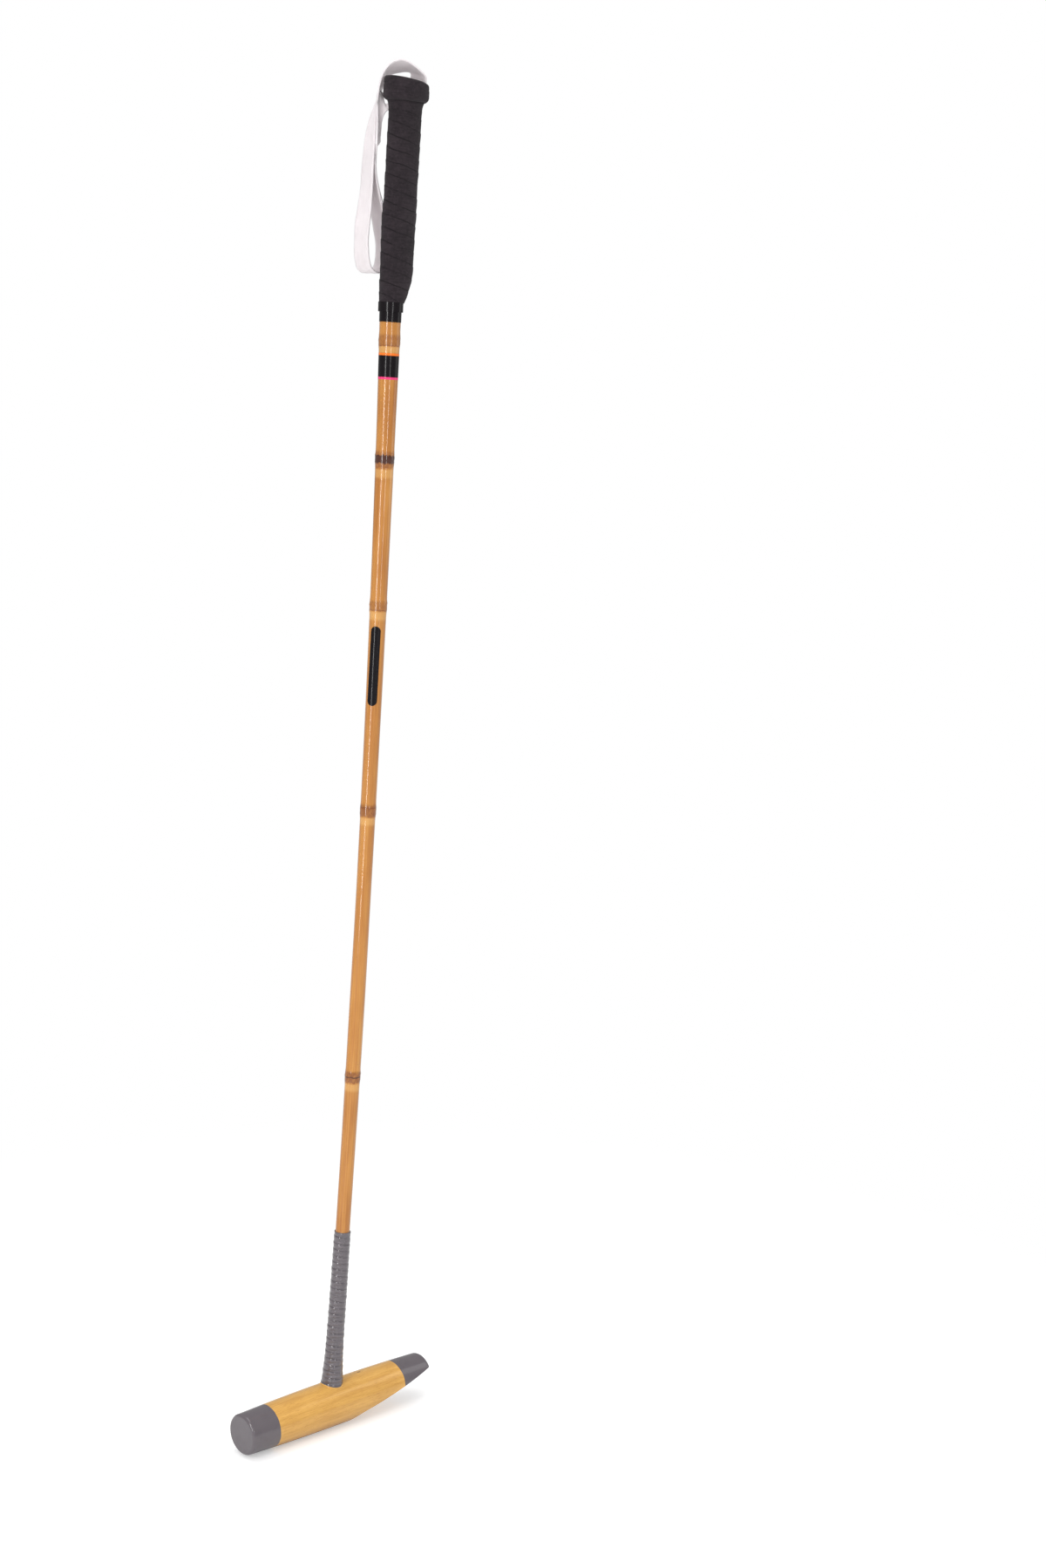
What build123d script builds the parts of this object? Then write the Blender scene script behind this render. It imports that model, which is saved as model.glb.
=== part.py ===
from build123d import *
from math import cos, hypot, pi, radians, sin, tan
import os

os.makedirs("parts", exist_ok=True)

# A polo mallet standing with its head flat on the ground.
# +X points to the toe of the head, +Z up, the origin is under the foot of the cane.
# Lengths along the cane are measured from the ground, in millimetres.

# Whole mallet
mallet_length = 1321.0
cane_lean = 4.47
cane_bow = 6.8

# Head
head_length = 229.6
heel_reach = 108.6
head_radius = 22.5
heel_radius = 20.4
toe_radius = 19.9
heel_rim = 3.0
toe_rim = 4.5
slab_height = 33.5
slab_bend_height = 12.2
slab_bend_reach = 36.0
slab_start = 13.0

# Cane: distance from the ground and diameter, its joints stand a little proud
foot_diameter = 14.3
cane_taper = [
    (160.0, 14.1),
    (300.0, 14.3),
    (430.0, 14.9),
    (540.0, 14.5),
    (700.0, 15.2),
    (860.0, 16.4),
    (1000.0, 18.0),
]
cane_neck_diameter = 20.4
cane_joints = [360.0, 626.0, 825.0, 966.0, 1077.0]
joint_swell = 0.8
joint_reach = 9.0

# Foot wedge
wedge_length = 27.0
wedge_thick = 2.6
wedge_thin = 0.7

# Binding above the head
binding_end = 198.0
binding_turns = 22
binding_thick = 0.9
binding_step = 0.3
binding_top_radius = 8.2
binding_waist = 97.0
binding_waist_radius = 8.75
binding_foot_radius = 11.0
fillet_height = 3.6
fillet_reach = 2.6

# Grip
grip_shift = 4.6
grip_half_width = 18.0
grip_half_depth = 12.0
grip_foot = 1113.0
grip_taper = 34.0
grip_wrap_thick = 0.9
grip_wrap_step = 0.5
grip_turns = 15
underlay_thick = 0.5
tang_half_width = 7.5
tang_shift = -3.6

# Knob
knob_height = 22.5
knob_half_width = 24.5
knob_half_depth = 17.0
knob_rim = 5.0
knob_edge = 3.0
knob_slope = 6.0
knob_skin = 1.1
neck_skirt = 9.0
cheek_end = 4.0

# Gloss tape under the grip
end_tape_wide = 9.0
end_tape_narrow = 9.5
end_tape_step = 1.3
end_tape_thick = 0.45

# Decoration on the cane
stripe_bottom = 1043.0
stripe_top = 1063.2
stripe_line = 2.2
decal_thick = 0.18
label_bottom = 729.0
label_length = 77.0
label_width = 9.4
label_turn = 217.0

# Sling
sling_width = 25.0
sling_thick = 1.8
sling_sink = 13.0
anchor_reach = 14.0
anchor_width = 22.4
hinge_drop = 72.0
tack_radius = 0.8
tack_length = 9.0
tack_spread = 6.0
tack_drop = 8.0

# Clearances
bed = 0.05
turn_gap = 0.45
slot_gap = 0.4
swing_gap = 0.35

# The cane's own plane at the ground, leaning towards the toe
lean = radians(cane_lean)
shaft = Plane(origin=(0, 0, 0), x_dir=(cos(lean), 0, -sin(lean)), z_dir=(sin(lean), 0, cos(lean)))
head_axis = Axis((0, 0, head_radius), (1, 0, 0))
head_top = 2 * head_radius / cos(lean)
knob_top = mallet_length
knob_foot = knob_top - knob_height
skirt_foot = knob_foot - neck_skirt
end_tape_foot = grip_foot - end_tape_wide - end_tape_narrow


def bow(s):
    """Sideways bow of the cane's axis towards the toe at distance s from the ground."""
    run = grip_foot / 2
    return cane_bow * (1 - ((s - run) / run) ** 2)


def cane_width(s):
    """Diameter of the cane between its joints."""
    rows = [(0.0, foot_diameter), *cane_taper, (grip_foot, cane_neck_diameter)]
    for (s0, d0), (s1, d1) in zip(rows, rows[1:]):
        if s <= s1:
            return d0 + (d1 - d0) * (s - s0) / (s1 - s0)
    return rows[-1][1]


def cane_rows():
    """Every level of the cane where its diameter is set."""
    rows = [(s, cane_width(s)) for s in (0.0, *[s for s, d in cane_taper], grip_foot, grip_foot + grip_taper)]
    for s in cane_joints:
        rows += [(s - joint_reach, cane_width(s - joint_reach))]
        rows += [(s - joint_reach / 4, cane_width(s) + joint_swell)]
        rows += [(s + joint_reach / 4, cane_width(s) + joint_swell)]
        rows += [(s + joint_reach, cane_width(s + joint_reach))]
    return sorted(rows)


def cane_form(extra):
    """The round cane below the grip, grown outwards by extra."""
    with BuildPart() as form:
        for s, d in cane_rows():
            with BuildSketch(shaft.offset(s)):
                with Locations((bow(s), 0)):
                    Circle(d / 2 + extra)
        loft(ruled=True)
    return form.part


def grip_oval(s, inset):
    """Centre, half width and half depth of the handle at s, inset under its tape."""
    share = max(0.0, min(1.0, (s - grip_foot) / grip_taper))
    ease = share * (2 - share)
    neck = cane_neck_diameter / 2 + underlay_thick + grip_wrap_thick + bed
    centre = bow(grip_foot) + (grip_shift - bow(grip_foot)) * ease
    return (centre, neck + (grip_half_width - neck) * ease - inset, neck + (grip_half_depth - neck) * ease - inset)


def grip_form(low, high, inset):
    """A length of the oval handle, inset under its tape."""
    levels = [low, grip_foot + grip_taper / 4, grip_foot + grip_taper / 2, grip_foot + grip_taper, high]
    with BuildPart() as form:
        for s in levels:
            centre, half_width, half_depth = grip_oval(s, inset)
            with BuildSketch(shaft.offset(s)):
                with Locations((centre, 0)):
                    Ellipse(half_width, half_depth)
        loft(ruled=True)
    return form.part


def knob_form(inset):
    """The flared knob with its sloping top and rounded rims, inset under its tape."""
    slope = radians(knob_slope)
    middle = knob_top - knob_half_width * tan(slope) - inset
    with BuildPart() as form:
        for turn in (0, 45, 90):
            round_in = (knob_rim - inset) * (1 - sin(radians(turn)))
            round_up = (knob_rim - inset) * (1 - cos(radians(turn)))
            with BuildSketch(shaft.offset(knob_foot + inset + round_up)):
                with Locations((grip_shift, 0)):
                    Ellipse(knob_half_width - inset - round_in, knob_half_depth - inset - round_in)
        for turn in (90, 45, 0):
            round_in = (knob_edge - inset) * (1 - sin(radians(turn)))
            round_down = (knob_edge - inset) * (1 - cos(radians(turn)))
            rim_middle = shaft.from_local_coords((grip_shift, 0, middle - round_down))
            rim_x = (cos(lean + slope), 0, -sin(lean + slope))
            rim_z = (sin(lean + slope), 0, cos(lean + slope))
            with BuildSketch(Plane(origin=rim_middle, x_dir=rim_x, z_dir=rim_z)):
                Ellipse((knob_half_width - inset) / cos(slope) - round_in, knob_half_depth - inset - round_in)
        loft(ruled=True)
    return form.part


def binding_radius(s):
    """Outside of the binding's bed at s: straight above the waist, flared below it."""
    if s >= binding_waist:
        share = (s - binding_waist) / (binding_end - binding_waist)
        outside = binding_waist_radius + (binding_top_radius - binding_waist_radius) * share
    else:
        share = (binding_waist - s) / (binding_waist - head_top)
        outside = binding_waist_radius + (binding_foot_radius - binding_waist_radius) * share * share
    return outside - binding_thick - bed


def wound_band(start, pitch, turns, size, thick, step, gap, sides):
    """A flat band wound up the handle as one length, flat between its sides, its upper edge proud."""
    half = (pitch - gap) / 2
    outside = 1 / cos(pi / sides)
    spots = []
    with BuildPart() as band:
        for i in range(turns * sides + 1):
            s = start + pitch * i / sides
            angle = 2 * pi * i / sides
            centre, half_width, half_depth = size(s)
            spot = Vector(centre + half_width * outside * cos(angle), half_depth * outside * sin(angle), s)
            spots.append(spot)
            out = shaft.from_local_coords(Vector(half_depth * cos(angle), half_width * sin(angle), 0))
            with BuildSketch(Plane(origin=shaft.from_local_coords(spot), x_dir=out, z_dir=shaft.z_dir.cross(out))):
                with BuildLine():
                    Polyline((bed, -half), (thick + step, -half), (thick, half), (bed, half), close=True)
                make_face()
        loft(ruled=True, clean=False)
    near = min(
        hypot(hypot(p.X - q.X, p.Y - q.Y), max(0.0, abs(q.Z - p.Z) - 2 * half))
        for i, p in enumerate(spots)
        for q in spots[i + sides // 2 : i + 2 * sides]
    )
    print("wound band: turns", turns, "least gap to itself", round(near, 3))
    return band.part


def strap(rows):
    """A flat strap through rows of its two edges, each (near edge, far edge)."""
    middles = [(near + far) / 2 for near, far in rows]
    with BuildPart() as form:
        for i, (near, far) in enumerate(rows):
            ahead = middles[min(i + 1, len(rows) - 1)] - middles[max(i - 1, 0)]
            across = far - near
            with BuildSketch(Plane(origin=middles[i], x_dir=across, z_dir=ahead.cross(across).cross(across) * -1)):
                Rectangle(across.length, sling_thick)
        loft(ruled=True)
    return form.part


cane_round = cane_form(0)
cane_bore = cane_form(bed)
cane_decal = cane_form(decal_thick)
cane_end_tape = cane_form(end_tape_thick)
cane_end_step = cane_form(end_tape_thick + end_tape_step)
core_inset = underlay_thick + grip_wrap_thick + bed
core = grip_form(grip_foot, knob_top - cheek_end, core_inset)
knob_outer = knob_form(0)
knob_inner = knob_form(knob_skin)

# Head: a barrel turned about its own axis, its toe planed to a slab underneath
with BuildPart() as head_barrel:
    with BuildSketch(Plane.XZ):
        with BuildLine():
            heel_end = (-heel_reach, head_radius)
            heel_edge = (-heel_reach, head_radius + heel_radius)
            toe_edge = (head_length - heel_reach, head_radius + toe_radius)
            toe_end = (head_length - heel_reach, head_radius)
            Line(heel_end, heel_edge)
            ThreePointArc(heel_edge, (0, 2 * head_radius), toe_edge)
            Line(toe_edge, toe_end)
            Line(toe_end, heel_end)
        make_face()
    revolve(axis=head_axis)
    rims = head_barrel.edges().filter_by(GeomType.CIRCLE).sort_by(Axis.X)
    fillet(rims.first, heel_rim)
    rims = head_barrel.edges().filter_by(GeomType.CIRCLE).sort_by(Axis.X)
    fillet(rims.last, toe_rim)

with BuildPart() as head:
    add(head_barrel.part)
    with BuildSketch(Plane.XZ) as slab:
        with BuildLine():
            tip = head_length - heel_reach
            bend = Line((tip, slab_height), (slab_bend_reach, slab_bend_height))
            run_out = TangentArc(bend @ 1, (slab_start, 0), tangent=bend % 1)
            Polyline(run_out @ 1, (slab_start, -5), (tip + 5, -5), (tip + 5, slab_height), bend @ 0)
        make_face()
    extrude(amount=2 * head_radius, both=True, mode=Mode.SUBTRACT)
    add(cane_bore, mode=Mode.SUBTRACT)
head.part.label = "head"
export_step(head.part, "parts/head.step")

# Foot wedge, driven into the split foot of the cane from below
with BuildPart() as foot_wedge:
    with BuildSketch(Plane.XZ):
        with BuildLine():
            Polyline(
                (-wedge_thick / 2, 0),
                (wedge_thick / 2, 0),
                (wedge_thin / 2 + wedge_length * sin(lean), wedge_length),
                (-wedge_thin / 2 + wedge_length * sin(lean), wedge_length),
                close=True,
            )
        make_face()
    extrude(amount=head_radius, both=True)
    add(cane_round, mode=Mode.INTERSECT)
    add(head_barrel.part, mode=Mode.INTERSECT)
foot_wedge.part.label = "foot_wedge"
export_step(foot_wedge.part, "parts/foot_wedge.step")

# Cane: round shaft through the head, and a planed tang between the cheeks of the grip
with BuildPart() as cane_foot_waste:
    with BuildSketch(Plane.XY.offset(-head_radius)):
        Rectangle(2 * head_radius, 2 * head_radius)
    extrude(amount=1.5 * head_radius)
    add(head_barrel.part, mode=Mode.SUBTRACT)

with BuildPart() as tang:
    add(core)
    with BuildSketch(shaft.offset(grip_foot)):
        with Locations((grip_shift + tang_shift, 0)):
            Rectangle(2 * tang_half_width, 2 * knob_half_depth)
    extrude(amount=mallet_length - grip_foot, mode=Mode.INTERSECT)

with BuildPart() as cane:
    add(cane_round)
    add(tang.part)
    add(cane_foot_waste.part, mode=Mode.SUBTRACT)
    add(foot_wedge.part, mode=Mode.SUBTRACT)
cane.part.label = "cane"
export_step(cane.part, "parts/cane.step")

# Tacks that hold the buried end of the sling in the knob, driven in from the toe side
with BuildPart() as sling_tacks:
    tack_level = shaft.from_local_coords((grip_shift + anchor_reach, 0, knob_top - sling_thick - tack_drop))
    with BuildSketch(Plane(origin=tack_level, x_dir=(0, 1, 0), z_dir=shaft.x_dir)):
        with Locations((-tack_spread, 0), (tack_spread, 0)):
            Circle(tack_radius)
    extrude(amount=tack_length / 2, both=True)
sling_tacks.part.label = "sling_tacks"
export_step(sling_tacks.part, "parts/sling_tacks.step")

# The slot in the top of the knob that the sling is tacked into
with BuildPart() as sling_slot:
    with BuildSketch(shaft.offset(knob_top - sling_sink)):
        with Locations((grip_shift + anchor_reach, 0)):
            Rectangle(sling_thick + 2 * slot_gap, anchor_width + 2 * slot_gap)
    extrude(amount=2 * sling_sink)

# Cheeks glued to the planed sides of the tang
with BuildPart() as cheeks:
    add(core)
    add(tang.part, mode=Mode.SUBTRACT)
    add(cane_round, mode=Mode.SUBTRACT)
    add(sling_slot.part, mode=Mode.SUBTRACT)
    add(sling_tacks.part, mode=Mode.SUBTRACT)
cheek_pieces = cheeks.part.solids().sort_by(Axis.X)

with BuildPart() as heel_cheek:
    add(cheek_pieces.first)
heel_cheek.part.label = "heel_cheek"
export_step(heel_cheek.part, "parts/heel_cheek.step")

with BuildPart() as toe_cheek:
    add(cheek_pieces.last)
toe_cheek.part.label = "toe_cheek"
export_step(toe_cheek.part, "parts/toe_cheek.step")

# Knob: a wooden collar round the cheeks, skinned with tape that runs on down the neck
with BuildPart() as knob_collar:
    add(knob_inner)
    add(core, mode=Mode.SUBTRACT)
    add(sling_slot.part, mode=Mode.SUBTRACT)
    add(sling_tacks.part, mode=Mode.SUBTRACT)
knob_collar.part.label = "knob_collar"
export_step(knob_collar.part, "parts/knob_collar.step")

with BuildPart() as knob_tape:
    add(knob_outer)
    with BuildSketch(shaft.offset(skirt_foot)):
        with Locations((grip_shift, 0)):
            Ellipse(grip_half_width, grip_half_depth)
    extrude(amount=neck_skirt + knob_rim)
    add(knob_inner, mode=Mode.SUBTRACT)
    add(core, mode=Mode.SUBTRACT)
    add(sling_slot.part, mode=Mode.SUBTRACT)
knob_tape.part.label = "knob_tape"
export_step(knob_tape.part, "parts/knob_tape.step")

# Grip tape: the covered half of every lap as a sleeve, and the laps wound over it
with BuildPart() as grip_underlay:
    add(grip_form(grip_foot, skirt_foot - bed, grip_wrap_thick + bed))
    add(core, mode=Mode.SUBTRACT)
    add(cane_round, mode=Mode.SUBTRACT)
grip_underlay.part.label = "grip_underlay"
export_step(grip_underlay.part, "parts/grip_underlay.step")

grip_pitch = (skirt_foot - grip_foot - 2 * bed) / (grip_turns + 1)


def under_lap(s):
    """The oval that a lap is wound on, taken at its upper edge so that it clears the taper."""
    return grip_oval(s + grip_pitch / 2, grip_wrap_thick)


first_lap = grip_foot + grip_pitch / 2
grip_band = wound_band(first_lap, grip_pitch, grip_turns, under_lap, grip_wrap_thick, grip_wrap_step, turn_gap, 16)
with BuildPart() as grip_tape:
    add(grip_band, clean=False)
grip_tape.part.label = "grip_tape"
export_step(grip_tape.part, "parts/grip_tape.step")

# Gloss tape that seals the foot of the grip, in two steps
with BuildPart() as end_tape_upper:
    with BuildSketch(shaft.offset(end_tape_foot + end_tape_narrow)):
        Circle(2 * cane_neck_diameter)
    extrude(amount=end_tape_wide)
    add(cane_end_step, mode=Mode.INTERSECT)

with BuildPart() as end_tape:
    with BuildSketch(shaft.offset(end_tape_foot)):
        Circle(2 * cane_neck_diameter)
    extrude(amount=end_tape_narrow)
    add(cane_end_tape, mode=Mode.INTERSECT)
    add(end_tape_upper.part)
    add(cane_round, mode=Mode.SUBTRACT)
end_tape.part.label = "end_tape"
export_step(end_tape.part, "parts/end_tape.step")

# Stripe and label: thin films that lie on the lacquered cane
stripe_rows = [
    ("stripe_line_lower", stripe_bottom - stripe_line, stripe_bottom),
    ("stripe_band", stripe_bottom, stripe_top),
    ("stripe_line_upper", stripe_top, stripe_top + stripe_line),
]
for stripe_name, low, high in stripe_rows:
    with BuildPart() as stripe:
        with BuildSketch(shaft.offset(low)):
            Circle(2 * cane_neck_diameter)
        extrude(amount=high - low)
        add(cane_decal, mode=Mode.INTERSECT)
        add(cane_round, mode=Mode.SUBTRACT)
    stripe.part.label = stripe_name
    export_step(stripe.part, "parts/" + stripe_name + ".step")

with BuildPart() as cane_label:
    turn = radians(label_turn)
    facing = shaft.from_local_coords(Vector(cos(turn), sin(turn), 0))
    middle = shaft.from_local_coords((bow(label_bottom), 0, label_bottom + label_length / 2))
    with BuildSketch(Plane(origin=middle, x_dir=shaft.z_dir, z_dir=facing)):
        SlotOverall(label_length, label_width)
    extrude(amount=cane_neck_diameter)
    add(cane_decal, mode=Mode.INTERSECT)
    add(cane_round, mode=Mode.SUBTRACT)
cane_label.part.label = "cane_label"
export_step(cane_label.part, "parts/cane_label.step")

# Binding at the foot: a flared bed and the painted band wound over it
with BuildPart() as binding_bed:
    bed_levels = [head_top - 4, head_top + 4, head_top + 14, head_top + 26, head_top + 38, binding_waist, binding_end]
    for s in bed_levels:
        with BuildSketch(shaft.offset(s)):
            with Locations((bow(s), 0)):
                Circle(binding_radius(s))
    loft(ruled=True)
    add(cane_round, mode=Mode.SUBTRACT)
    add(head_barrel.part, mode=Mode.SUBTRACT)
binding_bed.part.label = "binding_bed"
export_step(binding_bed.part, "parts/binding_bed.step")

binding_foot = head_top + 1.5
binding_pitch = (binding_end - binding_foot) / (binding_turns + 1)


def binding_lap(s):
    """The circle that a turn of the binding lies on, taken at the turn's wider lower edge."""
    low = max(head_top - 4, s - binding_pitch / 2)
    return (bow(s), binding_radius(low), binding_radius(low))


first_turn = binding_foot + binding_pitch / 2
cord_band = wound_band(first_turn, binding_pitch, binding_turns, binding_lap, binding_thick, binding_step, turn_gap, 12)
with BuildPart() as foot_binding:
    add(cord_band, clean=False)
foot_binding.part.label = "foot_binding"
export_step(foot_binding.part, "parts/foot_binding.step")

# Bead of varnish between the binding and the head
with BuildPart() as foot_fillet:
    for s, grow in ((head_top - 4, fillet_reach + 0.8), (head_top + fillet_height, 0.3)):
        with BuildSketch(shaft.offset(s)):
            with Locations((bow(s), 0)):
                Circle(binding_radius(s) + binding_thick + binding_step + bed + grow)
    loft(ruled=True)
    for s in (head_top - 5, head_top + fillet_height + 1):
        with BuildSketch(shaft.offset(s)):
            with Locations((bow(s), 0)):
                Circle(binding_radius(head_top) + binding_thick + binding_step + 2 * bed)
    loft(ruled=True, mode=Mode.SUBTRACT)
    add(head_barrel.part, mode=Mode.SUBTRACT)
foot_fillet.part.label = "foot_fillet"
export_step(foot_fillet.part, "parts/foot_fillet.step")


# Sling: one length of webbing, given by its near and far edges.
# Each row holds toe-ward, rear-ward and upward distances from the middle of the knob's top.
def sling_rows(rows):
    """Turn rows of edge positions on the knob into places on the leaning mallet."""
    edges = []
    for near, far in rows:
        near_edge = shaft.from_local_coords(Vector(*near) + Vector(grip_shift, 0, knob_top))
        far_edge = shaft.from_local_coords(Vector(*far) + Vector(grip_shift, 0, knob_top))
        edges.append((near_edge, far_edge))
    return edges


half_anchor = anchor_width / 2
hinge_up = -hinge_drop
crown_rows = [
    ((anchor_reach, -half_anchor, 1.0 - sling_sink), (anchor_reach, half_anchor, 1.0 - sling_sink)),
    ((anchor_reach, -half_anchor, -4.0), (anchor_reach, half_anchor, -4.0)),
    ((12.5, -11.8, 0.6), (14.4, 11.6, 0.8)),
    ((6.0, -10.5, 3.8), (14.4, 11.3, 3.0)),
    ((-1.5, -9.3, 8.8), (13.2, 11.4, 4.6)),
    ((-8.0, -7.5, 13.2), (8.5, 12.0, 5.2)),
    ((-13.0, -5.6, 14.2), (2.5, 13.4, 4.4)),
    ((-19.5, -0.6, 11.2), (-3.6, 18.4, 2.6)),
    ((-23.8, 4.2, 4.6), (-8.0, 23.4, -0.6)),
    ((-26.0, 7.4, -5.0), (-10.5, 26.6, -8.5)),
    ((-26.0, 9.8, -19.0), (-12.0, 30.5, -20.5)),
    ((-23.6, 14.0, -37.5), (-12.0, 36.2, -37.5)),
    ((-22.6, 15.1, -52.0), (-13.9, 38.6, -52.0)),
    ((-22.2, 15.3, hinge_up), (-15.3, 39.4, hinge_up)),
]
tail_rows = [
    ((-19.8, 15.3, hinge_up), (-12.8, 39.3, hinge_up)),
    ((-22.0, 11.2, -61.0), (-5.0, 29.2, -62.0)),
    ((-27.0, 6.5, -41.0), (-12.0, 19.5, -54.0)),
    ((-25.0, 5.5, -30.0), (-14.8, 14.5, -46.0)),
    ((-19.0, 7.5, -25.0), (-14.8, 11.0, -36.0)),
    ((-13.6, 4.6, -23.6), (-12.2, 5.4, -30.6)),
]
near_side = 14.6
far_side = near_side + sling_width
bottom = hinge_up - 109.0
loop_rows = [
    ((-22.2, near_side + 0.7, hinge_up - swing_gap), (-15.3, far_side - 0.2, hinge_up - swing_gap)),
    ((-22.6, near_side + 0.3, -88.0), (-16.0, far_side - 0.1, -88.0)),
    ((-22.6, near_side, -104.0), (-16.2, far_side, -104.0)),
    ((-22.9, near_side, -123.0), (-18.6, far_side, -123.0)),
    ((-24.0, near_side, -138.0), (-20.6, far_side, -138.0)),
    ((-24.5, near_side, -152.0), (-20.0, far_side, -152.0)),
    ((-23.2, near_side, -163.0), (-19.6, far_side, -163.0)),
    ((-21.6, near_side, -170.5), (-18.2, far_side, -170.5)),
    ((-18.8, near_side, -176.5), (-15.8, far_side, -176.5)),
    ((-14.3, near_side, -180.0), (-11.8, far_side, -180.0)),
    ((-8.0, near_side, bottom), (-6.8, far_side, bottom)),
    ((-1.5, near_side, -180.2), (-1.2, far_side, -180.2)),
    ((3.6, near_side, -177.0), (3.3, far_side, -177.0)),
    ((6.3, near_side, -171.0), (5.9, far_side, -171.0)),
    ((7.0, near_side, -163.0), (6.6, far_side, -163.0)),
    ((6.3, near_side, -152.0), (5.8, far_side, -152.0)),
    ((3.2, near_side, -141.0), (2.6, far_side, -141.0)),
    ((-1.2, near_side, -131.0), (-0.4, far_side, -131.0)),
    ((-6.4, near_side, -121.0), (-5.2, far_side, -121.0)),
    ((-11.5, near_side, -111.0), (-9.2, far_side, -111.0)),
    ((-15.2, near_side, -102.0), (-11.6, far_side, -102.0)),
    ((-18.3, near_side + 0.2, -92.0), (-12.6, far_side, -92.0)),
    ((-19.8, near_side + 0.4, -82.0), (-13.0, far_side - 0.2, -82.0)),
    ((-19.8, near_side + 0.7, hinge_up - swing_gap), (-12.8, far_side - 0.3, hinge_up - swing_gap)),
]

with BuildPart() as sling_anchor:
    with BuildSketch(shaft.offset(knob_top - sling_sink + 1.0)):
        with Locations((grip_shift + anchor_reach, 0)):
            Rectangle(sling_thick, anchor_width)
    extrude(amount=sling_sink)
    add(sling_tacks.part, mode=Mode.SUBTRACT)

with BuildPart() as sling_crown:
    add(strap(sling_rows(crown_rows)))
    add(knob_outer, mode=Mode.SUBTRACT)
    add(sling_anchor.part)
sling_crown.part.label = "sling_crown"
export_step(sling_crown.part, "parts/sling_crown.step")

with BuildPart() as sling_tail:
    add(strap(sling_rows(tail_rows)))
    add(knob_outer, mode=Mode.SUBTRACT)
    with BuildSketch(shaft.offset(skirt_foot)):
        with Locations((grip_shift, 0)):
            Ellipse(grip_half_width, grip_half_depth)
    extrude(amount=neck_skirt + knob_rim, mode=Mode.SUBTRACT)
    add(core, mode=Mode.SUBTRACT)
    add(grip_underlay.part, mode=Mode.SUBTRACT)
sling_tail.part.label = "sling_tail"
export_step(sling_tail.part, "parts/sling_tail.step")

with BuildPart() as sling_loop:
    add(strap(sling_rows(loop_rows)))
sling_loop.part.label = "sling_loop"
export_step(sling_loop.part, "parts/sling_loop.step")
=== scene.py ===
import bmesh
import bpy
from math import cos, pi, radians, sin, tan
from mathutils import Matrix, Vector, noise


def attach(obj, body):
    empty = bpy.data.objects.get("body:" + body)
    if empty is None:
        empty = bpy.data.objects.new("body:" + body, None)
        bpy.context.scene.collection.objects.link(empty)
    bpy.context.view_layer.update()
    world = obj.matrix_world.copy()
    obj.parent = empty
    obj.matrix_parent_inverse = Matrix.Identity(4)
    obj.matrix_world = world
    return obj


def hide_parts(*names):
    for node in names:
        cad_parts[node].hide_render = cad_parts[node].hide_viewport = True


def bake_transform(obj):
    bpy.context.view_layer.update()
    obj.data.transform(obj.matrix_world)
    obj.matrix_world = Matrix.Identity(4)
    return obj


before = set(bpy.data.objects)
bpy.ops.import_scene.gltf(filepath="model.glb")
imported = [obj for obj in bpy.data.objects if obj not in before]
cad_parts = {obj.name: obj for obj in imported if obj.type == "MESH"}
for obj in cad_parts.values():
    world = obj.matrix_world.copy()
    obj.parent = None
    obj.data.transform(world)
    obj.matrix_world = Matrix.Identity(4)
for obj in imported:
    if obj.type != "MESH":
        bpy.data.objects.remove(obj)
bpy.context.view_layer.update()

print("frame loaded:", len(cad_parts), "nodes")

# the mallet leans towards its toe, so lengths are given along the cane, in millimetres
lean = radians(4.47)
caneUp = Vector((sin(lean), 0, cos(lean)))
caneToe = Vector((cos(lean), 0, -sin(lean)))


def place(u, v, s):
    return (caneToe * u + Vector((0, 1, 0)) * v + caneUp * s) / 1000


def caneBow(s):
    run = 1113 / 2
    return 6.8 * (1 - ((s - run) / run) ** 2)


def between(rows, s):
    for (s0, d0), (s1, d1) in zip(rows, rows[1:]):
        if s <= s1:
            return d0 + (d1 - d0) * (s - s0) / (s1 - s0)
    return rows[-1][1]


def smooth(low, high, x):
    t = max(0.0, min(1.0, (x - low) / (high - low)))
    return t * t * (3 - 2 * t)


def paint(red, green, blue):
    def linear(c):
        c /= 255
        return c / 12.92 if c <= 0.04045 else ((c + 0.055) / 1.055) ** 2.4
    return (linear(red), linear(green), linear(blue), 1.0)


class Field:

    def __init__(self, finish, socket):
        self.finish, self.socket = finish, socket

    def math(self, operation, a, b=None, c=None):
        values = {0: a}
        if b is not None:
            values[1] = b
        if c is not None:
            values[2] = c
        made = self.finish.node("ShaderNodeMath", {"operation": operation}, values)
        return Field(self.finish, made.outputs[0])

    def __add__(self, other): return self.math("ADD", self, other)
    def __radd__(self, other): return self.math("ADD", other, self)
    def __sub__(self, other): return self.math("SUBTRACT", self, other)
    def __rsub__(self, other): return self.math("SUBTRACT", other, self)
    def __mul__(self, other): return self.math("MULTIPLY", self, other)
    def __rmul__(self, other): return self.math("MULTIPLY", other, self)
    def __truediv__(self, other): return self.math("DIVIDE", self, other)
    def size(self): return self.math("ABSOLUTE", self)
    def wave(self): return self.math("SINE", self)
    def most(self, other): return self.math("MAXIMUM", self, other)
    def above(self, other): return self.math("GREATER_THAN", self, other)
    def step(self, low, high):
        made = self.finish.node("ShaderNodeMapRange", {"interpolation_type": "SMOOTHSTEP"},
                                {"Value": self, "From Min": low, "From Max": high})
        return Field(self.finish, made.outputs[0])


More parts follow.
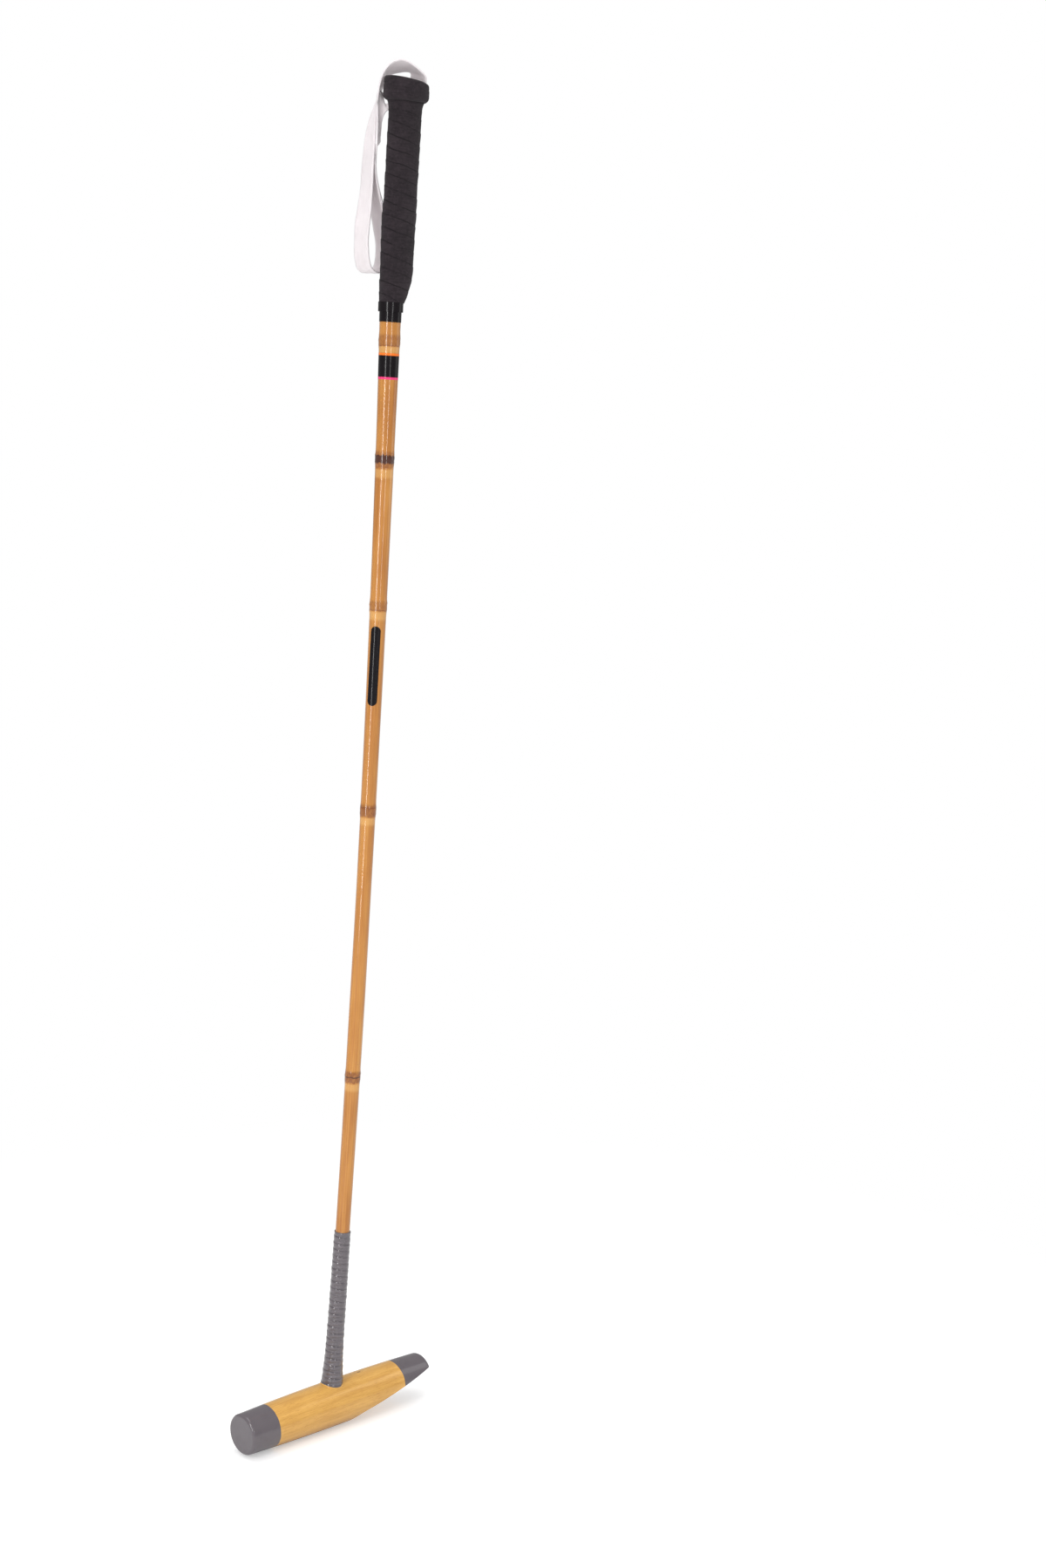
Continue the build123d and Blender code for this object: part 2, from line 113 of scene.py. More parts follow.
class Finish:

    def __init__(self, name, **sockets):
        self.material = bpy.data.materials.new(name)
        self.material.use_nodes = True
        self.tree = self.material.node_tree
        self.tree.nodes.clear()
        self.shader = self.node("ShaderNodeBsdfPrincipled", {}, sockets and {k.replace("_", " "): v for k, v in sockets.items()})
        self.output = self.node("ShaderNodeOutputMaterial", {}, {"Surface": self.shader.outputs[0]})
        self.where = self.node("ShaderNodeTexCoord").outputs["Object"]

    def node(self, kind, settings=None, sockets=None):
        made = self.tree.nodes.new(kind)
        for key, value in (settings or {}).items():
            if key == "stops":
                ramp = made.color_ramp
                while len(ramp.elements) < len(value):
                    ramp.elements.new(0.5)
                for element, (spot, colour) in zip(ramp.elements, value):
                    element.position, element.color = spot, colour
            else:
                setattr(made, key, value)
        for key, value in (sockets or {}).items():
            self.feed(made.inputs[key], value)
        return made

    def feed(self, socket, value):
        if isinstance(value, Field):
            value = value.socket
        if isinstance(value, bpy.types.NodeSocket):
            self.tree.links.new(value, socket)
        else:
            socket.default_value = value

    def set(self, **sockets):
        for key, value in sockets.items():
            self.feed(self.shader.inputs[key.replace("_", " ")], value)
        return self

    def reach(self, direction):
        made = self.node("ShaderNodeVectorMath", {"operation": "DOT_PRODUCT"}, {0: self.where, 1: tuple(direction * 1000)})
        return Field(self, made.outputs["Value"])

    def point(self, x, y, z):
        return self.node("ShaderNodeCombineXYZ", {}, {0: x, 1: y, 2: z}).outputs[0]

    def noise(self, spot, scale=1.0, detail=2.0, rough=0.5):
        made = self.node("ShaderNodeTexNoise", {}, {"Vector": spot, "Scale": scale, "Detail": detail, "Roughness": rough})
        return Field(self, made.outputs[0])

    def mix(self, share, a, b, how="MIX"):
        made = self.node("ShaderNodeMix", {"data_type": "RGBA", "blend_type": how}, {0: share, 6: a, 7: b})
        return made.outputs[2]

    def ramp(self, share, stops):
        return self.node("ShaderNodeValToRGB", {"stops": stops}, {0: share}).outputs[0]

    def bump(self, height, distance, strength=1.0):
        made = self.node("ShaderNodeBump", {}, {"Height": height, "Distance": distance, "Strength": strength})
        self.feed(self.shader.inputs["Normal"], made.outputs[0])
        return self


def onCane(finish):
    s = finish.reach(caneUp)
    v = finish.reach(Vector((0, 1, 0)))
    u = finish.reach(caneToe) - (6.8 - 6.8 * ((s - 556.5) / 556.5) * ((s - 556.5) / 556.5))
    return u, v, s, u.math("ARCTAN2", v, u)


caneTone = {
    "body": [(0.15, paint(138, 76, 26)), (0.42, paint(174, 111, 45)), (0.58, paint(194, 133, 61)), (0.9, paint(222, 169, 95))],
    "scar": paint(120, 62, 26),
    "dark": paint(66, 30, 18),
    "pale": paint(226, 178, 108),
    # level, patch from and to, its strength, line, its half height and strength, pale ring from and to
    "joints": [
        (354.5, 366.5, 0.8, 360.0, 0.7, 0.75, 346.0, 353.0),
        (620.0, 632.5, 0.75, 629.0, 0.7, 0.65, 612.0, 619.0),
        (821.0, 831.0, 0.5, 821.5, 0.5, 0.5, 812.0, 820.0),
        (957.5, 973.5, 0.6, 965.4, 4.1, 0.96, 948.0, 956.0),
        (1072.0, 1083.0, 0.55, 1072.3, 0.5, 0.45, 1065.4, 1071.6),
    ],
}


def caneFinish():
    f = Finish("lacqueredCane", Roughness=0.38, Coat_Weight=1.0, Coat_Roughness=0.1, Coat_IOR=1.45, Specular_IOR_Level=0.25)
    u, v, s, turn = onCane(f)
    fibre = f.noise(f.point(u * 0.9, v * 0.9, s * 0.012), 1.0, 4.0, 0.6)
    cloud = f.noise(f.point(u * 0.06, v * 0.06, s * 0.013), 1.0, 2.0)
    fleck = f.noise(f.point(u * 0.5, v * 0.5, s * 0.2), 1.0, 3.0, 0.65)
    colour = f.ramp(fibre * 0.5 + cloud * 0.5, caneTone["body"])
    ragged = f.noise(f.point(u * 0.32, v * 0.32, s * 0.03), 1.0, 3.0, 0.7) - 0.5
    rise = 0.0 * s
    for low, high, patch, level, half, strength, paleLow, paleHigh in caneTone["joints"]:
        spot = s + ragged * 5
        smudge = spot.step(low - 1.2, low + 0.8) * (1 - spot.step(high - 2.5, high + 1.0))
        colour = f.mix(smudge * patch * (0.45 + 0.55 * fleck.step(0.3, 0.6)), colour, caneTone["scar"])
        ring = s.step(paleLow - 2, paleLow + 2) * (1 - s.step(paleHigh - 1.0, paleHigh + 0.6))
        colour = f.mix(ring * 0.4, colour, caneTone["pale"])
        line = 1 - (s - level + ragged * (2.2 + half * 1.6)).size().step(half * 0.75, half * 1.15)
        colour = f.mix(line * strength, colour, caneTone["dark"] if strength > 0.7 else caneTone["scar"])
        rise = rise + line
    colour = f.mix(fleck.step(0.69, 0.76) * 0.55, colour, caneTone["scar"])
    f.set(Base_Color=colour)
    f.bump(fibre * 0.12 - rise * 0.6 + cloud * 0.4, 0.0005, 0.45)
    return f.material


headTone = {
    "wood": [(0.1, paint(168, 112, 44)), (0.38, paint(200, 148, 68)), (0.6, paint(218, 167, 84)), (0.95, paint(236, 194, 120))],
    "vein": paint(170, 110, 48),
    "paint": paint(95, 88, 93),
    "worn": paint(84, 77, 82),
    "heelBand": -76.6,
    "toeBand": 83.1,
}


def headFinish():
    f = Finish("hardwoodWithDippedEnds", Coat_Roughness=0.12, Specular_IOR_Level=0.3)
    x = f.reach(Vector((1, 0, 0)))
    y = f.reach(Vector((0, 1, 0)))
    z = f.reach(Vector((0, 0, 1)))
    drift = f.noise(f.point(x * 0.012, y * 0.05, z * 0.05), 1.0, 3.0) * 9
    rings = (y * 0.35 + z * 0.75 + drift).wave() * 0.5 + 0.5
    fibre = f.noise(f.point(x * 0.035, y * 1.1, z * 1.1), 1.0, 5.0, 0.62)
    pores = f.noise(f.point(x * 0.16, y * 3.2, z * 3.2), 1.0, 2.0)
    cloud = f.noise(f.point(x * 0.02, y * 0.05, z * 0.05), 1.0, 2.0)
    colour = f.ramp(rings * 0.1 + fibre * 0.6 + cloud * 0.3, headTone["wood"])
    colour = f.mix(pores.step(0.54, 0.7) * 0.5, colour, headTone["vein"])
    nick = ((x - 40) * (x - 40) * 0.15 + (y - 1) * (y - 1)).step(0.3, 1.3)
    colour = f.mix((1 - nick) * z.above(22) * 0.8, colour, paint(96, 56, 30))
    wobble = (f.noise(f.point(x * 0.05, y * 0.09, z * 0.09), 1.0, 2.0) - 0.5) * 1.6
    dipped = (x + wobble).above(headTone["toeBand"]).most(1 - (x + wobble).above(headTone["heelBand"]))
    scuff = f.noise(f.where, 70.0, 4.0, 0.7)
    tone = f.mix(scuff.step(0.4, 0.75) * 0.5, headTone["paint"], headTone["worn"])
    f.set(Base_Color=f.mix(dipped, colour, tone), Roughness=0.38 + dipped * 0.04, Coat_Weight=0.8 + dipped * 0.2)
    skin = f.noise(f.where, 420.0, 2.0)
    f.bump((1 - dipped) * (fibre * 0.15 - pores * 0.1) + dipped * (0.25 + skin * 0.09), 0.0008, 0.5)
    return f.material


def clothFinish(name, colour, worn, thread=2.2):
    f = Finish(name, Roughness=0.9, Sheen_Weight=0.06, Sheen_Roughness=0.5, Specular_IOR_Level=0.18)
    u, v, s, turn = onCane(f)
    weft = (s * (thread * 2.2)).wave()
    warp = (turn * 15 * (thread * 2.2)).wave()
    weave = weft * warp
    crepe = f.noise(f.point(u * 0.12, v * 0.12, s * 0.8), 1.0, 3.0, 0.6)
    dust = f.noise(f.point(u * 0.45, v * 0.45, s * 0.4), 1.0, 4.0, 0.65)
    patch = f.noise(f.point(u * 0.06, v * 0.06, s * 0.04), 1.0, 2.0)
    tone = f.mix(dust.step(0.38, 0.75) * 0.5, colour, worn)
    tone = f.mix(patch.step(0.42, 0.75) * 0.4, tone, worn)
    tone = f.mix(crepe.step(0.42, 0.72) * 0.55, tone, paint(28, 23, 26))
    tone = f.mix((weave * 0.5 + 0.5) * 0.18, tone, paint(28, 25, 28))
    # painted shadow: the tape's tone darkens along each lap edge, where the next lap's step would cast shade, more
    # strongly in the patches
    lap = Field(f, f.node("ShaderNodeAttribute", {"attribute_name": "lapEdge"}).outputs["Fac"])
    tone = f.mix(lap * (0.35 + 0.6 * patch.step(0.38, 0.62)), tone, paint(12, 9, 11))
    f.set(Base_Color=tone)
    f.bump(weave * 0.14 + dust * 0.5 + crepe * 0.6 - lap * 0.4, 0.0007, 0.8)
    return f.material


def bindingFinish():
    f = Finish("paintedBinding", Coat_Weight=1.0, Coat_Roughness=0.13, Coat_IOR=1.65, Specular_IOR_Level=0.4)
    u, v, s, turn = onCane(f)
    waver = f.noise(f.point(u * 0.35, v * 0.35, s * 0.3), 1.0, 2.0) * 2.4
    ridge = (s * 1.5 - turn * 1.0 + waver).wave()
    thread = (s * 5.2 - turn * 2.0).wave()
    drip = f.noise(f.point(u * 0.22, v * 0.22, s * 0.12), 1.0, 3.0)
    grain = f.noise(f.point(u * 1.0, v * 1.0, s * 1.5), 1.0, 2.0)
    lap = Field(f, f.node("ShaderNodeAttribute", {"attribute_name": "lapEdge"}).outputs["Fac"])
    tone = f.mix(drip.step(0.35, 0.75) * 0.5, paint(98, 90, 96), paint(78, 71, 77))
    # painted shade: the binding's tone darkens along each lap edge and in the grooves between the cord's ridges,
    # where the bump sinks
    tone = f.mix(lap * 0.35 + (0.5 - ridge * 0.5) * 0.22, tone, paint(62, 57, 62))
    f.set(Base_Color=tone, Roughness=0.26 + drip * 0.16)
    f.bump(ridge * 0.5 + thread * 0.02 + grain * 0.3 + drip * 0.3 - lap * 0.35, 0.0007, 1.0)
    return f.material


def filmFinish(name, colour, wear, rough=0.22):
    f = Finish(name, Coat_Weight=0.3, Coat_Roughness=0.06, Specular_IOR_Level=0.1)
    u, v, s, turn = onCane(f)
    rub = f.noise(f.point(u * 0.5, v * 0.5, s * 0.25), 1.0, 4.0, 0.7)
    f.set(Base_Color=f.mix(rub.step(0.5, 0.85) * 0.4, colour, wear), Roughness=rough + rub * 0.14)
    f.bump(rub, 0.0002, 0.4)
    return f.material


def webFinish():
    f = Finish("whiteWebbing", Roughness=0.74, Sheen_Weight=0.2, Sheen_Roughness=0.4, Subsurface_Weight=0.6, Subsurface_Radius=(1.0, 1.0, 1.0), Subsurface_Scale=0.004)
    mapped = f.node("ShaderNodeUVMap", {"uv_map": "strap"}).outputs[0]
    parts = f.node("ShaderNodeSeparateXYZ", {}, {0: mapped})
    across, along = Field(f, parts.outputs[0]), Field(f, parts.outputs[1])
    ribs = (across * (2 * pi / 1.05)).wave()
    picks = (along * (2 * pi / 0.8) + ribs * 0.9).wave()
    weave = picks * 0.6 + ribs * 0.35
    soil = f.noise(f.point(across * 0.12, along * 0.05, 0.0), 1.0, 4.0, 0.6)
    edge = (across - 12.5).size().step(11.2, 12.4)
    tone = f.mix(soil.step(0.4, 0.8) * 0.5, paint(232, 224, 226), paint(214, 204, 206))
    tone = f.mix(edge * 0.35, tone, paint(226, 220, 222))
    # painted shade: the webbing's tone darkens in the weave's hollows, where the bump below sinks
    tone = f.mix((1 - weave.step(-0.9, 0.4)) * 0.22, tone, paint(196, 188, 192))
    f.set(Base_Color=tone)
    f.bump(weave * 0.5 + edge * 0.4, 0.00022, 0.5)
    return f.material


def plainWoodFinish():
    f = Finish("bareWood", Roughness=0.6)
    u, v, s, turn = onCane(f)
    fibre = f.noise(f.point(u * 0.7, v * 0.7, s * 0.03), 1.0, 4.0, 0.6)
    f.set(Base_Color=f.ramp(fibre, [(0.2, paint(178, 134, 84)), (0.8, paint(222, 184, 130))]))
    f.bump(fibre, 0.0003, 0.4)
    return f.material


def steelFinish():
    f = Finish("tackSteel", Metallic=1.0)
    scratch = f.noise(f.where, 900.0, 3.0)
    f.set(Base_Color=f.ramp(scratch, [(0.3, paint(150, 150, 154)), (0.7, paint(196, 196, 200))]), Roughness=0.28 + scratch * 0.2)
    return f.material


finishes = {
    "cane": caneFinish(),
    "head": headFinish(),
    "cloth": clothFinish("blackCottonTape", paint(41, 35, 39), paint(64, 55, 60)),
    "gloss": filmFinish("glossTape", paint(17, 12, 16), paint(36, 31, 35), 0.2),
    "binding": bindingFinish(),
    "web": webFinish(),
    "wood": plainWoodFinish(),
    "steel": steelFinish(),
    "black": filmFinish("blackFilm", paint(15, 11, 15), paint(30, 26, 30)),
    "orange": filmFinish("orangeFilm", paint(238, 118, 40), paint(214, 104, 38)),
    "pink": filmFinish("pinkFilm", paint(226, 62, 120), paint(196, 54, 104)),
}
print("finishes made:", len(finishes))

dressed = {
    "head": "head", "foot_wedge": "wood", "cane": "cane", "heel_cheek": "wood", "toe_cheek": "wood",
    "knob_collar": "wood", "knob_tape": "cloth", "grip_underlay": "cloth", "grip_tape": "cloth", "end_tape": "gloss",
    "stripe_line_lower": "pink", "stripe_band": "black", "stripe_line_upper": "orange", "cane_label": "black",
    "binding_bed": "binding", "foot_binding": "binding", "foot_fillet": "binding", "sling_tacks": "steel",
    "sling_crown": "web", "sling_tail": "web", "sling_loop": "web",
}
for name, finish in dressed.items():
    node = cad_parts[name]
    node.data.materials.clear()
    node.data.materials.append(finishes[finish])


def rolledSheet(columns, rows, shape, edgeOf=None):
    bm = bmesh.new()
    bmesh.ops.create_grid(bm, x_segments=columns, y_segments=rows, size=0.5)
    lapEdge = bm.verts.layers.float.new("lapEdge")
    for vert in bm.verts:
        x, y = vert.co.x + 0.5, vert.co.y + 0.5
        vert[lapEdge] = edgeOf(x, y) if edgeOf else 0.0
        vert.co = shape(x, y)
    bmesh.ops.remove_doubles(bm, verts=bm.verts, dist=0.00001)
    return bm


def addPiece(name, bm, finish):
    mesh = bpy.data.meshes.new(name)
    bmesh.ops.recalc_face_normals(bm, faces=bm.faces)
    for face in bm.faces:
        face.smooth = True
    bm.to_mesh(mesh)
    bm.free()
    mesh.materials.append(finish)
    piece = bpy.data.objects.new(name, mesh)
    bpy.context.scene.collection.objects.link(piece)
    return piece


def trimBetween(bm, low, high):
    for level, upwards in ((low, -1), (high, 1)):
        cut = bmesh.ops.bisect_plane(bm, geom=bm.verts[:] + bm.edges[:] + bm.faces[:], dist=0.000001,
                                     plane_co=caneUp * level / 1000, plane_no=caneUp * upwards, clear_outer=True)
        rim = [e for e in cut["geom_cut"] if isinstance(e, bmesh.types.BMEdge)]
        bmesh.ops.holes_fill(bm, edges=rim)


handle = {"foot": 1113.0, "taper": 34.0, "shift": 4.6, "halfWidth": 18.0, "halfDepth": 12.0, "neck": 11.65}


def handleOval(s):
    share = max(0.0, min(1.0, (s - handle["foot"]) / handle["taper"]))
    ease = share * (2 - share)
    centre = caneBow(handle["foot"]) + (handle["shift"] - caneBow(handle["foot"])) * ease
    wide = handle["neck"] + (handle["halfWidth"] - handle["neck"]) * ease
    deep = handle["neck"] + (handle["halfDepth"] - handle["neck"]) * ease
    return centre, wide, deep


gripLaps = {"low": 1112.6, "high": 1291.0, "pitch": 12.3, "step": 0.34, "tilt": 2.6, "sink": 0.3, "columns": 96, "perLap": 26, "seam": 1201.6}


def gripWinding():
    laps = gripLaps
    turns = int((laps["high"] - laps["low"]) / laps["pitch"]) + 4
    base = laps["low"] - laps["pitch"]

    # how near a point lies to a lap edge; the tape finish sinks its bump there and paints shadow along it
    def edgeOf(x, y):
        w = y * turns - int(y * turns + 0.0001)
        return max(smooth(0.93, 0.985, w), 1 - smooth(0.0, 0.05, w))

    def shape(x, y):
        turn = y * turns
        s = base + laps["pitch"] * (turn - x)
        w = turn - int(turn + 0.0001)
        angle = 2 * pi * x
        edge = smooth(0.05, 0.9, w) * (1 - smooth(0.955, 1.0, w))
        swell = noise.noise(Vector((cos(angle) * 1.2, sin(angle) * 1.2, s * 0.07)))
        crease = noise.noise(Vector((cos(angle) * 3.1, sin(angle) * 3.1, s * 0.35)))
        height = laps["step"] * edge * (0.9 + 0.5 * swell) - laps["sink"] + 0.26 * swell + 0.1 * crease
        heelSide = smooth(-0.2, 0.9, -cos(angle))
        height += 0.75 * heelSide * (1 - smooth(laps["seam"] - 0.6, laps["seam"] + 0.6, s)) * smooth(1150, 1175, s)
        centre, wide, deep = handleOval(s)
        s += 1.7 * noise.noise(Vector((cos(angle) * 0.8, sin(angle) * 0.8, (turn - x) * 0.55))) - laps["tilt"] * cos(angle + 0.746)
        return place(centre + (wide + height) * cos(angle), (deep + height) * sin(angle), s)

    bm = rolledSheet(laps["columns"], turns * laps["perLap"], shape, edgeOf)
    trimBetween(bm, laps["low"], laps["high"])
    piece = addPiece("gripWinding", bm, finishes["cloth"])
    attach(piece, "mallet")
    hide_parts("grip_tape")
    return piece


knobShape = {"foot": 1298.5, "top": 1321.0, "halfWidth": 24.5, "halfDepth": 17.0, "slope": 6.0, "lowRound": 5.0, "topRound": 3.0, "skirt": 1289.3}


def knobCover():
    k = knobShape
    rise = k["halfWidth"] * tan(radians(k["slope"]))
    middle = k["top"] - rise
    rings = []
    for i in range(5):
        share = i / 4
        rings.append((k["skirt"] + (k["foot"] - k["skirt"] - 0.2) * share, 0.0, 6.3 - 1.6 * share ** 3, 4.8 - 1.2 * share ** 3))
    for i in range(9):
        a = radians(90 * i / 8)
        pull = k["lowRound"] * (1 - sin(a))
        rings.append((k["foot"] + k["lowRound"] * (1 - cos(a)), 0.0, pull, pull))
    for i in range(1, 16):
        share = i / 16
        lap = 0.35 * smooth(0.62, 0.66, share)
        rings.append((k["foot"] + k["lowRound"] + (middle - k["topRound"] - k["foot"] - k["lowRound"]) * share, share, lap, lap))
    for i in range(9):
        a = radians(90 - 90 * i / 8)
        pull = k["topRound"] * (1 - sin(a))
        rings.append((middle - k["topRound"] * (1 - cos(a)), 1.0, pull + 0.35, pull + 0.35))
    for share in (0.12, 0.3, 0.5, 0.7, 0.86, 1.0):
        rings.append((middle, 1.0, k["topRound"] + share * (k["halfWidth"] - k["topRound"]), k["topRound"] + share * (k["halfDepth"] - k["topRound"])))

    def shape(x, y):
        j = round(y * (len(rings) - 1))
        level, tilt, inX, inY = rings[j]
        angle = 2 * pi * x
        side = 1.0 if j < 36 else 0.35
        fold = noise.noise(Vector((cos(angle) * 1.4, sin(angle) * 1.4, level * 0.16 + angle * 0.05)))
        fine = noise.noise(Vector((cos(angle) * 5.0, sin(angle) * 5.0, level * 0.6)))
        grow = (0.3 * fold + 0.1 * fine) * side - 0.1
        if j == len(rings) - 1:
            grow = 0.0
        wide = max(0.0, k["halfWidth"] - inX + grow)
        deep = max(0.0, k["halfDepth"] - inY + grow)
        u = wide * cos(angle)
        drop = tilt * tan(radians(k["slope"])) * u
        return place(handle["shift"] + u, deep * sin(angle), level - drop + (grow * 0.3 if tilt == 1.0 else 0.0))

    bm = rolledSheet(112, len(rings) - 1, shape)
    bmesh.ops.holes_fill(bm, edges=[e for e in bm.edges if e.is_boundary])
    piece = addPiece("knobCover", bm, finishes["cloth"])
    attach(piece, "mallet")
    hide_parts("knob_tape")
    return piece


footLaps = {"low": 43.0, "high": 201.5, "pitch": 6.58, "step": 0.36, "columns": 64, "perLap": 14,
            "waist": 97.0, "waistRadius": 8.75, "topRadius": 8.2, "footRadius": 11.0}


def bindingOutside(s):
    b = footLaps
    if s >= b["waist"]:
        return b["waistRadius"] + (b["topRadius"] - b["waistRadius"]) * (s - b["waist"]) / (198 - b["waist"])
    share = (b["waist"] - s) / (b["waist"] - 45.1)
    return b["waistRadius"] + (b["footRadius"] - b["waistRadius"]) * share * share


def footWinding():
    laps = footLaps
    turns = int((laps["high"] - laps["low"]) / laps["pitch"]) + 4
    base = laps["low"] - laps["pitch"]

    # how near a point lies to a lap edge; the binding finish sinks its bump there and paints shade along it
    def edgeOf(x, y):
        w = y * turns - int(y * turns + 0.0001)
        return max(smooth(0.88, 0.97, w), 1 - smooth(0.0, 0.08, w))

    def shape(x, y):
        turn = y * turns
        s = base + laps["pitch"] * (turn - x)
        w = turn - int(turn + 0.0001)
        angle = 2 * pi * x
        edge = smooth(0.05, 0.75, w) * (1 - smooth(0.88, 1.0, w))
        lump = noise.noise(Vector((cos(angle), sin(angle), s * 0.12)))
        height = laps["step"] * edge * (0.8 + 0.8 * lump) + 0.16 * lump - 0.12
        radius = bindingOutside(s) + height
        s += 0.45 * noise.noise(Vector((cos(angle) * 0.9, sin(angle) * 0.9, (turn - x) * 0.7)))
        return place(caneBow(s) + radius * cos(angle), radius * sin(angle), s)

    bm = rolledSheet(laps["columns"], turns * laps["perLap"], shape, edgeOf)
    trimBetween(bm, laps["low"], laps["high"])
    piece = addPiece("footWinding", bm, finishes["binding"])
    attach(piece, "mallet")
    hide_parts("foot_binding")
    return piece


def varnishBead():
    def shape(x, y):
        angle = 2 * pi * x
        turn = 2 * pi * y
        wide = 11.15 + 0.95 * cos(turn) + 0.2 * noise.noise(Vector((cos(angle) * 2, sin(angle) * 2, 3)))
        side = wide * sin(angle)
        across = caneBow(45) + wide * cos(angle)
        barrel = (22.5 ** 2 - side ** 2) ** 0.5 + 22.5
        spot = place(across, side, barrel / cos(lean))
        spot.z = (barrel + 0.1 + 0.75 * sin(turn)) / 1000
        return spot

    bm = rolledSheet(72, 10, shape)
    piece = addPiece("varnishBead", bm, finishes["head"])
    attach(piece, "mallet")
    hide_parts("foot_fillet")
    return piece


caneSkin = {
    "low": 190.0, "high": 1099.0, "rows": 420, "columns": 48, "proud": 0.09,
    "taper": [(0, 14.3), (160, 14.1), (300, 14.3), (430, 14.9), (540, 14.5), (700, 15.2), (860, 16.4), (1000, 18.0), (1113, 20.4)],
    "joints": [360.0, 626.0, 825.0, 966.0, 1077.0],
}


def caneBark():
    k = caneSkin

    def shape(x, y):
        angle = 2 * pi * x
        s = k["low"] + (k["high"] - k["low"]) * min(1.0, max(0.0, (y * (k["rows"] + 2) - 1) / k["rows"]))
        radius = between(k["taper"], s) / 2
        for joint in k["joints"]:
            away = abs(s - joint)
            if away < 9:
                radius += 0.4 * min(1.0, (9 - away) / 6.75)
                tilt = 1.3 * cos(angle - joint)
                radius += 0.3 * max(0.0, 1 - abs(s - joint - 2.2 + tilt) / 1.6) + 0.2 * max(0.0, 1 - abs(s - joint + 3.5 + tilt) / 2.2)
        radius += k["proud"] + 0.05 * noise.noise(Vector((cos(angle), sin(angle), s * 0.03)))
        if y < 0.0001 or y > 0.9999:
            radius = 0.0
        return place(caneBow(s) + radius * cos(angle), radius * sin(angle), s)

    bm = rolledSheet(k["columns"], k["rows"] + 2, shape)
    piece = addPiece("caneBark", bm, finishes["cane"])
    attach(piece, "mallet")
    return piece


# near and far edge of the strap, each toe-ward, rear-ward and upward from the middle of the knob's top
slingRows = [
    ((14.0, -11.2, -12.0), (14.0, 11.2, -12.0)),
    ((14.0, -11.2, -4.0), (14.0, 11.2, -4.0)),
    ((13.2, -11.6, 1.6), (14.4, 11.6, 1.2)),
    ((9.0, -10.6, 5.4), (14.6, 11.3, 4.4)),
    ((2.6, -9.4, 9.4), (13.0, 11.4, 6.4)),
    ((-5.4, -7.8, 13.2), (7.6, 12.0, 6.6)),
    ((-13.4, -5.4, 14.9), (1.4, 13.6, 5.2)),
    ((-19.9, -0.8, 11.6), (-3.6, 18.4, 3.0)),
    ((-23.8, 4.2, 4.6), (-6.0, 22.6, -0.6)),
    ((-25.8, 7.4, -5.0), (-7.5, 25.0, -8.5)),
    ((-26.0, 9.8, -19.0), (-10.6, 29.0, -20.5)),
    ((-23.6, 14.0, -37.5), (-12.0, 36.2, -37.5)),
    ((-22.6, 15.1, -52.0), (-13.9, 38.6, -52.0)),
    ((-22.2, 15.3, -72.0), (-15.3, 39.4, -72.0)),
    ((-22.6, 14.9, -88.0), (-16.0, 39.5, -88.0)),
    ((-22.6, 14.6, -104.0), (-16.2, 39.6, -104.0)),
    ((-22.9, 14.6, -123.0), (-18.6, 39.6, -123.0)),
    ((-24.0, 14.6, -138.0), (-20.6, 39.6, -138.0)),
    ((-24.5, 14.6, -152.0), (-20.0, 39.6, -152.0)),
    ((-23.2, 14.6, -163.0), (-19.6, 39.6, -163.0)),
    ((-21.6, 14.6, -170.5), (-18.2, 39.6, -170.5)),
    ((-18.8, 14.6, -176.5), (-15.8, 39.6, -176.5)),
    ((-14.3, 14.6, -180.0), (-11.8, 39.6, -180.0)),
    ((-8.0, 14.6, -181.0), (-6.8, 39.6, -181.0)),
    ((-1.5, 14.6, -180.2), (-1.2, 39.6, -180.2)),
    ((3.6, 14.6, -177.0), (3.3, 39.6, -177.0)),
    ((6.3, 14.6, -171.0), (5.9, 39.6, -171.0)),
    ((7.0, 14.6, -163.0), (6.6, 39.6, -163.0)),
    ((6.3, 14.6, -152.0), (5.8, 39.6, -152.0)),
    ((3.2, 14.6, -141.0), (2.6, 39.6, -141.0)),
    ((-1.2, 14.6, -131.0), (-0.4, 39.6, -131.0)),
    ((-6.4, 14.6, -121.0), (-5.2, 39.6, -121.0)),
    ((-11.5, 14.6, -111.0), (-9.2, 39.6, -111.0)),
    ((-15.2, 14.6, -102.0), (-11.6, 39.6, -102.0)),
    ((-18.3, 14.8, -92.0), (-12.6, 39.6, -92.0)),
    ((-19.8, 15.0, -82.0), (-13.0, 39.4, -82.0)),
    ((-19.8, 15.3, -72.0), (-12.8, 39.3, -72.0)),
    ((-22.5, 12.0, -59.0), (-5.5, 29.6, -61.0)),
    ((-25.0, 10.8, -34.0), (-12.0, 19.5, -53.0)),
    ((-24.0, 12.8, -16.5), (-15.2, 14.6, -41.5)),
    ((-17.2, 14.8, -15.5), (-15.0, 11.4, -34.0)),
    ((-15.0, 14.6, -24.8), (-14.0, 8.4, -31.5)),
    ((-13.4, 4.6, -24.6), (-12.2, 5.4, -30.6)),
]
strap = {"thick": 1.5, "columns": 10, "perRow": 6, "camber": 0.5}


def alongRows(rows, side, t):
    spot = t * (len(rows) - 1)
    i = min(int(spot), len(rows) - 2)
    f = spot - i
    p0, p1, p2, p3 = (Vector(rows[max(0, min(len(rows) - 1, i + k))][side]) for k in (-1, 0, 1, 2))
    return 0.5 * (2 * p1 + (p2 - p0) * f + (2 * p0 - 5 * p1 + 4 * p2 - p3) * f * f + (3 * p1 - p0 - 3 * p2 + p3) * f ** 3)


